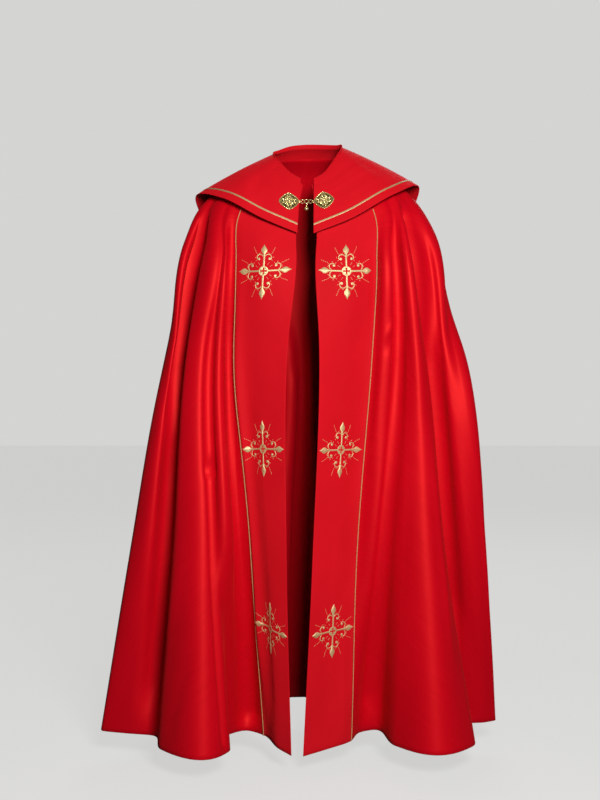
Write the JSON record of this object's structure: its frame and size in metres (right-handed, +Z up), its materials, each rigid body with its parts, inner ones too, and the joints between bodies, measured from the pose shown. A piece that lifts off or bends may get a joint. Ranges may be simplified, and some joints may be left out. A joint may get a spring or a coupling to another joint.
{
  "type": "cope vestment",
  "caption": "Worn liturgical cope: a semicircular satin mantle hanging in deep folds, with embroidered front bands, a shaped hood and a gilt clasp at the neck.",
  "frame": {"origin": "between the shoulders at the base of the neck, where a wearer's shoulders carry it", "axes": "+Z up, the open front faces -Y, +X to the wearer's left"},
  "size_m": [0.9794, 0.618, 1.4572],
  "materials": {
    "satin": "heavy red satin with a soft sheen",
    "orphrey": "matt red cloth",
    "braid": "woven gold braid and gold embroidery thread",
    "piping": "twisted gold cord",
    "gilt": "gilt filigree with dark recesses"
  },
  "bodies": {
    "root": {"mantle": "satin", "orphrey_left": "orphrey", "orphrey_right": "orphrey", "hood": "orphrey", "hood_braid": "braid", "piping_left": "piping", "piping_right": "piping", "clasp_left": "gilt", "clasp_right": "gilt", "chain_ring_left": "gilt", "chain_ring_centre": "gilt", "chain_ring_right": "gilt"},
    "pendant": {"pendant": "gilt"}
  },
  "joints": [
    {"name": "pendant_swing", "type": "hinge", "parent": "root", "child": "pendant", "pos_m": [-0.00182, -0.12876, -0.10171], "axis": [-1, 0, 0], "range_deg": [-20, 60]}
  ]
}
